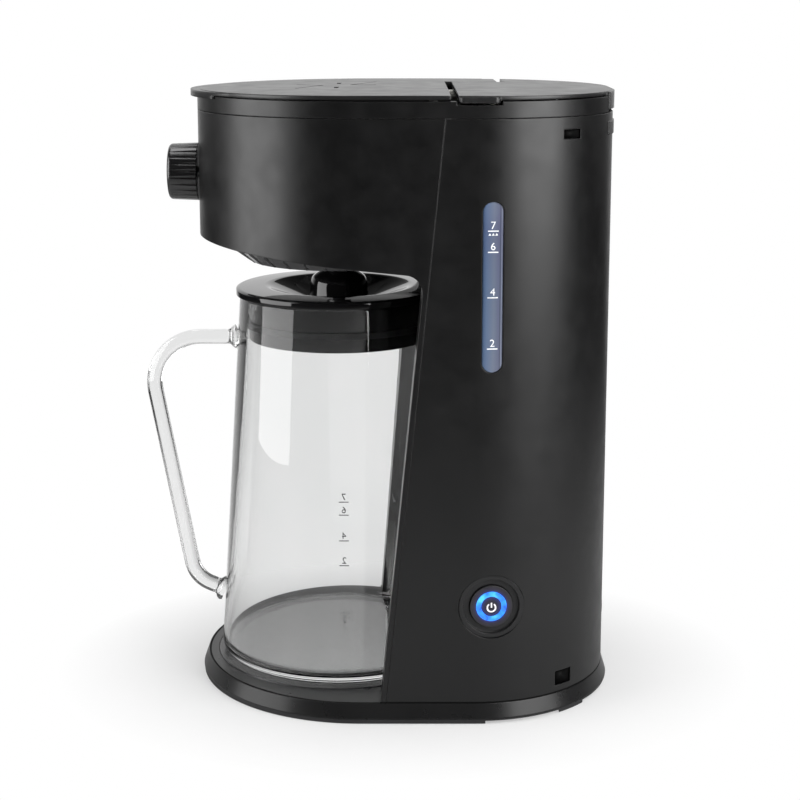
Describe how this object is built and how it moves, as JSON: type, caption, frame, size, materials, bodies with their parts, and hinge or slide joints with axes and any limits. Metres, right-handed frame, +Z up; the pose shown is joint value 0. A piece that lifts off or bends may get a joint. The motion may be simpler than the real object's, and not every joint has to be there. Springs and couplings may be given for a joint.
{
  "type": "iced coffee maker",
  "caption": "Upright iced coffee maker with a raked jug bay, hinged lids, a strength knob, a rear water tank with a level window and a glass jug with a rod handle.",
  "frame": {"origin": "centre of the overall box on the floor, with the jug in place", "axes": "+Z up; -X is the front, where the jug and the knob are; -Y is the side with the water window and the power button"},
  "size_m": [0.2406, 0.1702, 0.3074],
  "materials": {
    "body_black": "satin black moulding",
    "cover_black": "matt black moulding",
    "lid_black": "satin black moulding, smoother on top",
    "knob_black": "matt black grip",
    "gloss_black": "polished black moulding",
    "rubber": "matt black rubber",
    "silicone": "milky silicone tube",
    "white_plastic": "natural white moulding",
    "tank_grey": "smoke grey moulding",
    "window": "blue-grey clear plastic",
    "light_blue": "lit light guide",
    "board_green": "circuit board",
    "steel": "bright steel",
    "aluminium": "cast aluminium",
    "mesh": "fine mesh",
    "glass": "clear glass"
  },
  "bodies": {
    "machine": {"base_shell": "body_black", "bottom_cover": "cover_black", "rubber_feet": "rubber", "cover_screws": "steel", "jug_pad": "cover_black", "rear_housing": "body_black", "head_shell": "body_black", "bay_liner": "body_black", "top_collar": "body_black", "front_hinge_pin": "steel", "rear_hinge_pin": "steel", "water_tank": "tank_grey", "tank_strainer": "white_plastic", "level_window": "window", "cord_gland": "rubber", "button_bezel": "gloss_black", "power_board": "board_green", "board_screws": "steel", "tact_switch": "cover_black", "heater": "aluminium", "heater_bracket": "steel", "bracket_screws": "steel", "thermostat": "white_plastic", "check_valve": "white_plastic", "feed_hose": "silicone", "inlet_hose": "silicone", "riser_hose": "silicone", "hose_clamps": "steel", "water_spout": "white_plastic", "brew_basket": "cover_black", "filter_frame": "cover_black", "filter_mesh": "mesh", "valve_spring": "steel", "valve_cage": "cover_black", "knob_bush": "white_plastic"},
    "front_lid": {"front_lid": "lid_black", "spray_plate": "white_plastic"},
    "rear_lid": {"rear_lid": "lid_black"},
    "button": {"power_button": "gloss_black", "led_ring": "light_blue"},
    "valve": {"drip_valve": "cover_black"},
    "selector": {"strength_knob": "knob_black", "knob_shaft": "steel", "selector_disc": "white_plastic"},
    "jug": {"jug_glass": "glass", "jug_handle": "glass"},
    "jug_cover": {"jug_lid": "gloss_black", "lid_gasket": "rubber"}
  },
  "joints": [
    {"name": "front_lid_hinge", "type": "hinge", "parent": "machine", "child": "front_lid", "pos_m": [0.0602, 0, 0.3012], "axis": [0, 1, 0], "range_deg": [0, 92]},
    {"name": "rear_lid_hinge", "type": "hinge", "parent": "machine", "child": "rear_lid", "pos_m": [0.1154, 0, 0.295], "axis": [0, 1, 0], "range_deg": [0, 88]},
    {"name": "strength_turn", "type": "hinge", "parent": "machine", "child": "selector", "pos_m": [-0.0904, 0, 0.2637], "axis": [-1, 0, 0], "range_deg": [-60, 60]},
    {"name": "power_press", "type": "slide", "parent": "machine", "child": "button", "axis": [-0.113, 0.9936, 0], "range_m": [0, 0.002], "stiffness_N_per_m": 1200},
    {"name": "valve_raise", "type": "slide", "parent": "machine", "child": "valve", "axis": [0, 0, 1], "range_m": [0, 0.003], "stiffness_N_per_m": 300, "deforming": ["valve_spring"]},
    {"name": "jug_pull", "type": "slide", "parent": "machine", "child": "jug", "axis": [-1, 0, 0], "range_m": [0, 0.15]},
    {"name": "jug_lid_turn", "type": "hinge", "parent": "jug", "child": "jug_cover", "pos_m": [-0.0198, 0, 0.2009], "axis": [0, 0, 1], "range_deg": [0, 90]}
  ]
}
